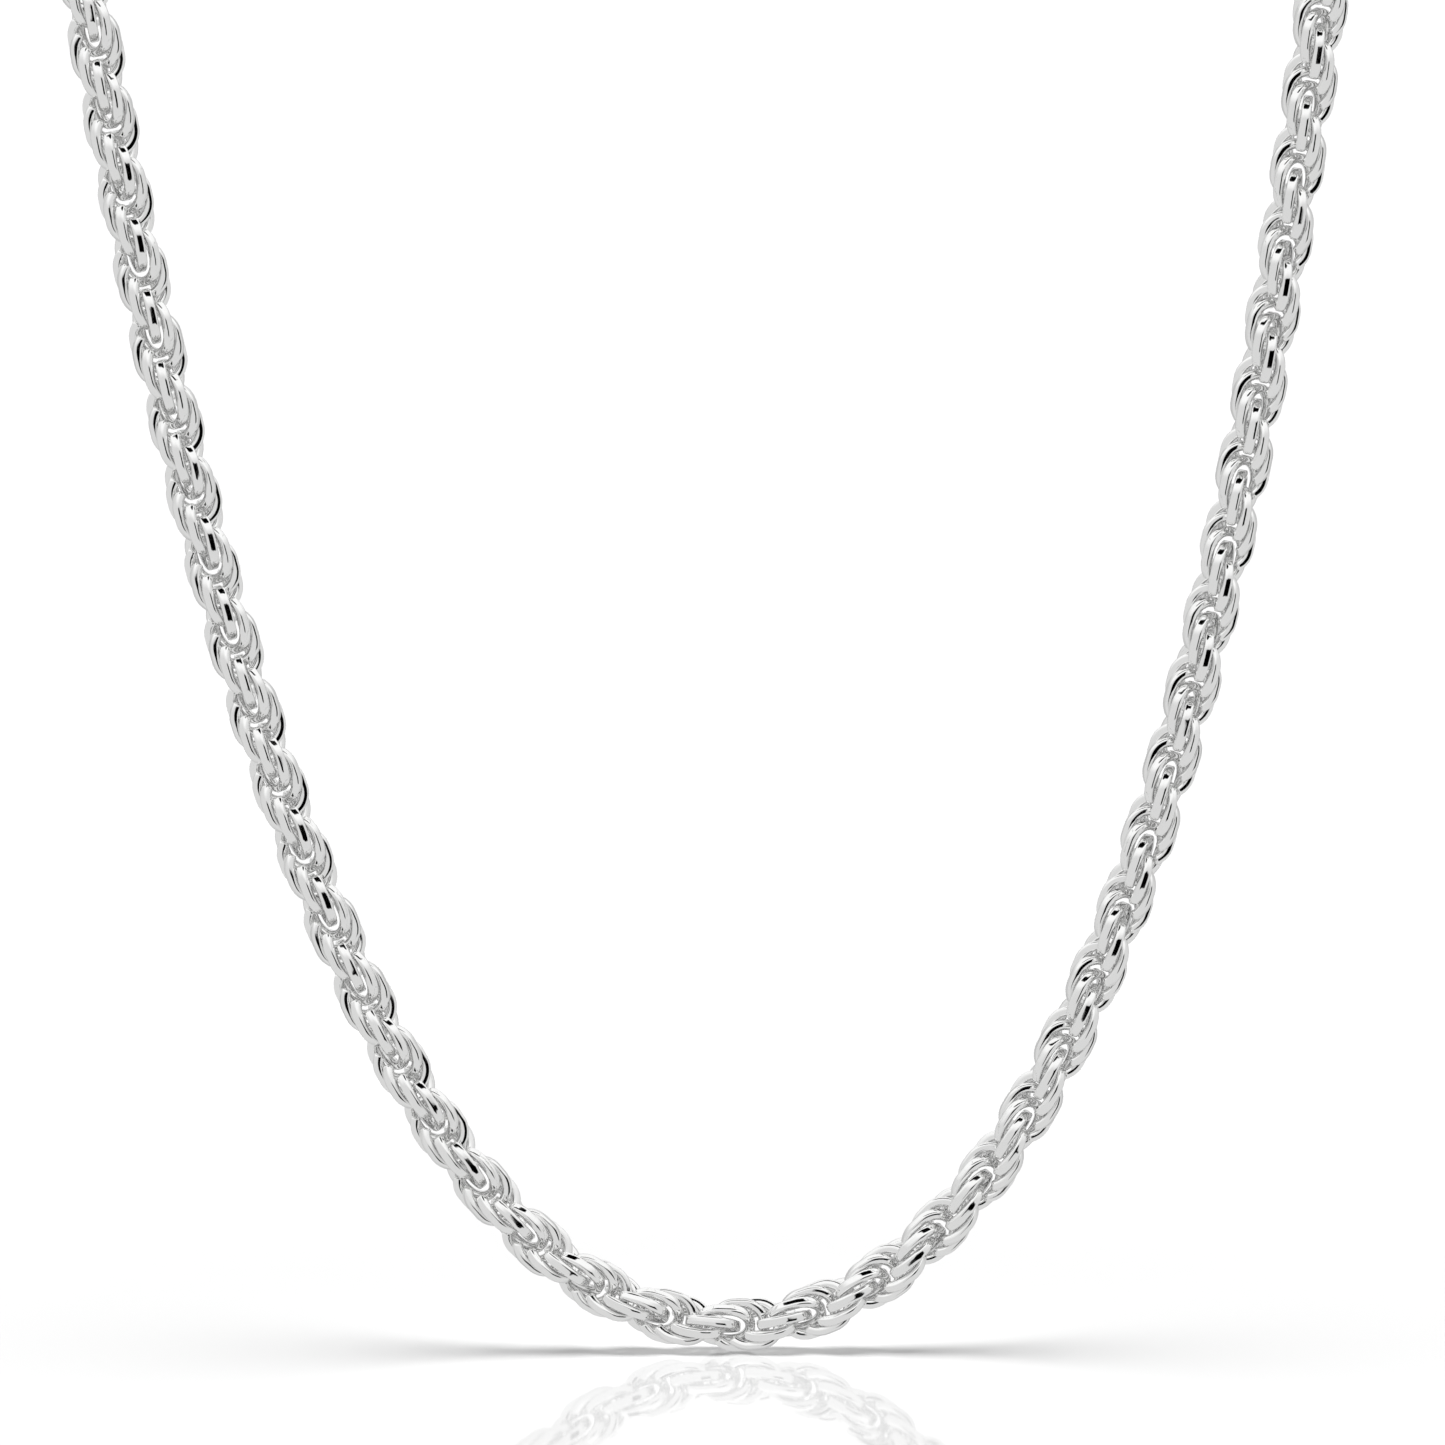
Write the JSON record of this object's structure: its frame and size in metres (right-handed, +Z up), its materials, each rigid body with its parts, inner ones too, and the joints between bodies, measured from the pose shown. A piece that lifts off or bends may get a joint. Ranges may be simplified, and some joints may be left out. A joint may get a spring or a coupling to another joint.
{
  "type": "rope chain necklace",
  "caption": "Polished silver rope chain necklace of interlocked open rings, hanging in a deep U and closed behind the neck by a sprung lobster clasp.",
  "frame": {"origin": "middle of the straight run of fittings at the nape, on the rope's centre line", "axes": "+Z up as worn, -Y towards the chest side that carries the U, +X to the right seen from the front"},
  "size_m": [0.1242, 0.081, 0.1717],
  "materials": {
    "silver_rope": "polished silver",
    "silver_fittings": "polished silver",
    "steel_trim": "bright steel"
  },
  "bodies": {
    "clasp": {"clasp_body": "silver_fittings", "gate_pin": "steel_trim", "gate_spring": "steel_trim"},
    "gate": {"clasp_gate": "silver_fittings"},
    "jump_ring": {"jump_ring": "silver_fittings"},
    "rope_01": {"cap_left": "silver_fittings", "rope_01": "silver_rope"},
    "rope_02": {"rope_02": "silver_rope"},
    "rope_03": {"rope_03": "silver_rope"},
    "rope_04": {"rope_04": "silver_rope"},
    "rope_05": {"rope_05": "silver_rope"},
    "rope_06": {"rope_06": "silver_rope"},
    "rope_07": {"rope_07": "silver_rope"},
    "rope_08": {"rope_08": "silver_rope"},
    "rope_09": {"rope_09": "silver_rope"},
    "rope_10": {"rope_10": "silver_rope"},
    "rope_11": {"rope_11": "silver_rope"},
    "rope_12": {"rope_12": "silver_rope"},
    "rope_13": {"rope_13": "silver_rope"},
    "rope_14": {"rope_14": "silver_rope"},
    "rope_15": {"rope_15": "silver_rope"},
    "rope_16": {"rope_16": "silver_rope"},
    "rope_17": {"rope_17": "silver_rope"},
    "rope_18": {"rope_18": "silver_rope"},
    "rope_19": {"rope_19": "silver_rope"},
    "rope_20": {"rope_20": "silver_rope"},
    "rope_21": {"rope_21": "silver_rope"},
    "rope_22": {"rope_22": "silver_rope"},
    "rope_23": {"rope_23": "silver_rope"},
    "rope_24": {"rope_24": "silver_rope"},
    "rope_25": {"rope_25": "silver_rope"},
    "rope_26": {"rope_26": "silver_rope"},
    "rope_27": {"rope_27": "silver_rope"},
    "rope_28": {"rope_28": "silver_rope"},
    "rope_29": {"rope_29": "silver_rope"},
    "rope_30": {"rope_30": "silver_rope"},
    "rope_31": {"rope_31": "silver_rope"},
    "rope_32": {"rope_32": "silver_rope"},
    "rope_33": {"rope_33": "silver_rope"},
    "rope_34": {"rope_34": "silver_rope"},
    "rope_35": {"rope_35": "silver_rope"},
    "rope_36": {"rope_36": "silver_rope"},
    "rope_37": {"rope_37": "silver_rope"},
    "rope_38": {"rope_38": "silver_rope"},
    "rope_39": {"rope_39": "silver_rope"},
    "rope_40": {"rope_40": "silver_rope"},
    "rope_41": {"rope_41": "silver_rope"},
    "rope_42": {"rope_42": "silver_rope"},
    "rope_43": {"rope_43": "silver_rope"},
    "rope_44": {"rope_44": "silver_rope"},
    "rope_45": {"rope_45": "silver_rope"},
    "rope_46": {"rope_46": "silver_rope"},
    "rope_47": {"rope_47": "silver_rope"},
    "rope_48": {"rope_48": "silver_rope"},
    "rope_49": {"cap_right": "silver_fittings", "rope_49": "silver_rope"},
    "end_ring": {"end_ring": "silver_fittings"}
  },
  "joints": [
    {"name": "jump_ring_turn", "type": "hinge", "parent": "clasp", "child": "jump_ring", "pos_m": [-0.00645, 0, 0], "axis": [1, 0, 0], "range_deg": [-6, 6]},
    {"name": "cap_left_turn", "type": "hinge", "parent": "jump_ring", "child": "rope_01", "pos_m": [-0.00923, 0, 0], "axis": [-1, 0, 0], "range_deg": [-6, 6]},
    {"name": "rope_flex_01", "type": "hinge", "parent": "rope_01", "child": "rope_02", "pos_m": [-0.02637, -0.00227, 0.00015], "axis": [0.9973, 0.0731, -0.0049], "range_deg": [-3, 3]},
    {"name": "rope_flex_02", "type": "hinge", "parent": "rope_02", "child": "rope_03", "pos_m": [-0.03564, -0.00764, 0.00034], "axis": [-0.9824, -0.1868, 0.0083], "range_deg": [-3, 3]},
    {"name": "rope_flex_03", "type": "hinge", "parent": "rope_03", "child": "rope_04", "pos_m": [-0.04317, -0.01529, 0.00029], "axis": [-0.9523, -0.3052, 0.0057], "range_deg": [-3, 3]},
    {"name": "rope_flex_04", "type": "hinge", "parent": "rope_04", "child": "rope_05", "pos_m": [-0.04903, -0.02429, -0.00025], "axis": [-0.9108, -0.4128, -0.0042], "range_deg": [-3, 3]},
    {"name": "rope_flex_05", "type": "hinge", "parent": "rope_05", "child": "rope_06", "pos_m": [-0.05349, -0.03399, -0.00147], "axis": [-0.8627, -0.5053, -0.0219], "range_deg": [-3, 3]},
    {"name": "rope_flex_06", "type": "hinge", "parent": "rope_06", "child": "rope_07", "pos_m": [-0.05675, -0.044, -0.00366], "axis": [-0.8114, -0.5824, -0.0485], "range_deg": [-3, 3]},
    {"name": "rope_flex_07", "type": "hinge", "parent": "rope_07", "child": "rope_08", "pos_m": [-0.05891, -0.05392, -0.00719], "axis": [0.7593, 0.6451, 0.086], "range_deg": [-3, 3]},
    {"name": "rope_flex_08", "type": "hinge", "parent": "rope_08", "child": "rope_09", "pos_m": [-0.05996, -0.06312, -0.0126], "axis": [0.7079, 0.6926, 0.1383], "range_deg": [-3, 3]},
    {"name": "rope_flex_09", "type": "hinge", "parent": "rope_09", "child": "rope_10", "pos_m": [-0.05983, -0.07043, -0.02041], "axis": [0.6597, 0.7218, 0.2092], "range_deg": [-3, 3]},
    {"name": "rope_flex_10", "type": "hinge", "parent": "rope_10", "child": "rope_11", "pos_m": [-0.05864, -0.07439, -0.03028], "axis": [0.6183, 0.7279, 0.2963], "range_deg": [-3, 3]},
    {"name": "rope_flex_11", "type": "hinge", "parent": "rope_11", "child": "rope_12", "pos_m": [-0.05689, -0.075, -0.04085], "axis": [0.584, 0.7129, 0.3883], "range_deg": [-3, 3]},
    {"name": "rope_flex_12", "type": "hinge", "parent": "rope_12", "child": "rope_13", "pos_m": [-0.05497, -0.075, -0.05144], "axis": [-0.5476, -0.69, -0.4733], "range_deg": [-3, 3]},
    {"name": "rope_flex_13", "type": "hinge", "parent": "rope_13", "child": "rope_14", "pos_m": [-0.05293, -0.075, -0.06201], "axis": [-0.5086, -0.6636, -0.5486], "range_deg": [-3, 3]},
    {"name": "rope_flex_14", "type": "hinge", "parent": "rope_14", "child": "rope_15", "pos_m": [-0.05072, -0.075, -0.07254], "axis": [-0.4681, -0.6352, -0.6143], "range_deg": [-3, 3]},
    {"name": "rope_flex_15", "type": "hinge", "parent": "rope_15", "child": "rope_16", "pos_m": [-0.04833, -0.075, -0.08303], "axis": [-0.4273, -0.606, -0.6709], "range_deg": [-3, 3]},
    {"name": "rope_flex_16", "type": "hinge", "parent": "rope_16", "child": "rope_17", "pos_m": [-0.04572, -0.075, -0.09347], "axis": [-0.3868, -0.5771, -0.7192], "range_deg": [-3, 3]},
    {"name": "rope_flex_17", "type": "hinge", "parent": "rope_17", "child": "rope_18", "pos_m": [-0.04283, -0.075, -0.10383], "axis": [0.3469, 0.5492, 0.7603], "range_deg": [-3, 3]},
    {"name": "rope_flex_18", "type": "hinge", "parent": "rope_18", "child": "rope_19", "pos_m": [-0.03959, -0.075, -0.11409], "axis": [0.3076, 0.5227, 0.7951], "range_deg": [-3, 3]},
    {"name": "rope_flex_19", "type": "hinge", "parent": "rope_19", "child": "rope_20", "pos_m": [-0.03591, -0.075, -0.1242], "axis": [0.2686, 0.4979, 0.8246], "range_deg": [-3, 3]},
    {"name": "rope_flex_20", "type": "hinge", "parent": "rope_20", "child": "rope_21", "pos_m": [-0.03163, -0.075, -0.13407], "axis": [0.2293, 0.4752, 0.8495], "range_deg": [-3, 3]},
    {"name": "rope_flex_21", "type": "hinge", "parent": "rope_21", "child": "rope_22", "pos_m": [-0.02655, -0.075, -0.14355], "axis": [0.1886, 0.4548, 0.8704], "range_deg": [-3, 3]},
    {"name": "rope_flex_22", "type": "hinge", "parent": "rope_22", "child": "rope_23", "pos_m": [-0.02034, -0.075, -0.15233], "axis": [-0.1451, -0.4371, -0.8877], "range_deg": [-3, 3]},
    {"name": "rope_flex_23", "type": "hinge", "parent": "rope_23", "child": "rope_24", "pos_m": [-0.01256, -0.075, -0.15972], "axis": [-0.0965, -0.4231, -0.9009], "range_deg": [-3, 3]},
    {"name": "rope_flex_24", "type": "hinge", "parent": "rope_24", "child": "rope_25", "pos_m": [-0.00292, -0.075, -0.16434], "axis": [-0.0413, -0.4148, -0.909], "range_deg": [-3, 3]},
    {"name": "rope_flex_25", "type": "hinge", "parent": "rope_25", "child": "rope_26", "pos_m": [0.00774, -0.075, -0.16438], "axis": [0.0176, -0.415, -0.9096], "range_deg": [-3, 3]},
    {"name": "rope_flex_26", "type": "hinge", "parent": "rope_26", "child": "rope_27", "pos_m": [0.01736, -0.075, -0.15973], "axis": [0.0724, -0.4239, -0.9028], "range_deg": [-3, 3]},
    {"name": "rope_flex_27", "type": "hinge", "parent": "rope_27", "child": "rope_28", "pos_m": [0.025, -0.075, -0.15219], "axis": [-0.1197, 0.4389, 0.8906], "range_deg": [-3, 3]},
    {"name": "rope_flex_28", "type": "hinge", "parent": "rope_28", "child": "rope_29", "pos_m": [0.03095, -0.075, -0.14324], "axis": [-0.1611, 0.4578, 0.8743], "range_deg": [-3, 3]},
    {"name": "rope_flex_29", "type": "hinge", "parent": "rope_29", "child": "rope_30", "pos_m": [0.03569, -0.075, -0.13359], "axis": [-0.1992, 0.4797, 0.8545], "range_deg": [-3, 3]},
    {"name": "rope_flex_30", "type": "hinge", "parent": "rope_30", "child": "rope_31", "pos_m": [0.03958, -0.075, -0.12356], "axis": [-0.2356, 0.5043, 0.8308], "range_deg": [-3, 3]},
    {"name": "rope_flex_31", "type": "hinge", "parent": "rope_31", "child": "rope_32", "pos_m": [0.04285, -0.075, -0.11331], "axis": [-0.2713, 0.5313, 0.8026], "range_deg": [-3, 3]},
    {"name": "rope_flex_32", "type": "hinge", "parent": "rope_32", "child": "rope_33", "pos_m": [0.04565, -0.075, -0.10292], "axis": [0.3072, -0.5605, -0.7691], "range_deg": [-3, 3]},
    {"name": "rope_flex_33", "type": "hinge", "parent": "rope_33", "child": "rope_34", "pos_m": [0.0481, -0.075, -0.09244], "axis": [0.3435, -0.5917, -0.7293], "range_deg": [-3, 3]},
    {"name": "rope_flex_34", "type": "hinge", "parent": "rope_34", "child": "rope_35", "pos_m": [0.05025, -0.075, -0.0819], "axis": [0.3806, -0.6245, -0.682], "range_deg": [-3, 3]},
    {"name": "rope_flex_35", "type": "hinge", "parent": "rope_35", "child": "rope_36", "pos_m": [0.05218, -0.075, -0.07131], "axis": [0.418, -0.6583, -0.626], "range_deg": [-3, 3]},
    {"name": "rope_flex_36", "type": "hinge", "parent": "rope_36", "child": "rope_37", "pos_m": [0.05391, -0.075, -0.06069], "axis": [0.4554, -0.6921, -0.56], "range_deg": [-3, 3]},
    {"name": "rope_flex_37", "type": "hinge", "parent": "rope_37", "child": "rope_38", "pos_m": [0.05548, -0.075, -0.05005], "axis": [-0.4918, 0.7243, 0.4833], "range_deg": [-3, 3]},
    {"name": "rope_flex_38", "type": "hinge", "parent": "rope_38", "child": "rope_39", "pos_m": [0.05691, -0.075, -0.03938], "axis": [-0.5258, 0.7531, 0.3955], "range_deg": [-3, 3]},
    {"name": "rope_flex_39", "type": "hinge", "parent": "rope_39", "child": "rope_40", "pos_m": [0.05821, -0.07459, -0.02872], "axis": [-0.5573, 0.7748, 0.2984], "range_deg": [-3, 3]},
    {"name": "rope_flex_40", "type": "hinge", "parent": "rope_40", "child": "rope_41", "pos_m": [0.0591, -0.07099, -0.0187], "axis": [-0.5965, 0.7762, 0.2044], "range_deg": [-3, 3]},
    {"name": "rope_flex_41", "type": "hinge", "parent": "rope_41", "child": "rope_42", "pos_m": [0.05914, -0.06383, -0.01076], "axis": [-0.6447, 0.7538, 0.1271], "range_deg": [-3, 3]},
    {"name": "rope_flex_42", "type": "hinge", "parent": "rope_42", "child": "rope_43", "pos_m": [0.05811, -0.05458, -0.00541], "axis": [0.6987, -0.712, -0.0706], "range_deg": [-3, 3]},
    {"name": "rope_flex_43", "type": "hinge", "parent": "rope_43", "child": "rope_44", "pos_m": [0.05605, -0.04457, -0.00211], "axis": [0.7558, -0.6541, -0.031], "range_deg": [-3, 3]},
    {"name": "rope_flex_44", "type": "hinge", "parent": "rope_44", "child": "rope_45", "pos_m": [0.05294, -0.03445, -0.00022], "axis": [0.8146, -0.58, -0.0037], "range_deg": [-3, 3]},
    {"name": "rope_flex_45", "type": "hinge", "parent": "rope_45", "child": "rope_46", "pos_m": [0.04866, -0.02463, 0.00068], "axis": [0.873, -0.4875, 0.0135], "range_deg": [-3, 3]},
    {"name": "rope_flex_46", "type": "hinge", "parent": "rope_46", "child": "rope_47", "pos_m": [0.04297, -0.01552, 0.00089], "axis": [0.927, -0.3744, 0.0214], "range_deg": [-3, 3]},
    {"name": "rope_flex_47", "type": "hinge", "parent": "rope_47", "child": "rope_48", "pos_m": [0.03558, -0.00774, 0.00064], "axis": [-0.97, 0.2421, -0.0201], "range_deg": [-3, 3]},
    {"name": "rope_flex_48", "type": "hinge", "parent": "rope_48", "child": "rope_49", "pos_m": [0.02636, -0.00229, 0.00024], "axis": [-0.9945, 0.1042, -0.011], "range_deg": [-3, 3]},
    {"name": "end_ring_turn", "type": "hinge", "parent": "rope_49", "child": "end_ring", "pos_m": [0.00979, 0, 0], "axis": [1, 0, 0], "range_deg": [-6, 6]},
    {"name": "gate_hinge", "type": "hinge", "parent": "clasp", "child": "gate", "pos_m": [-0.00055, 0, -0.00235], "axis": [0, -1, 0], "range_deg": [0, 25], "stiffness_Nm_per_rad": 0.0002, "springref_deg": -17.19}
  ]
}
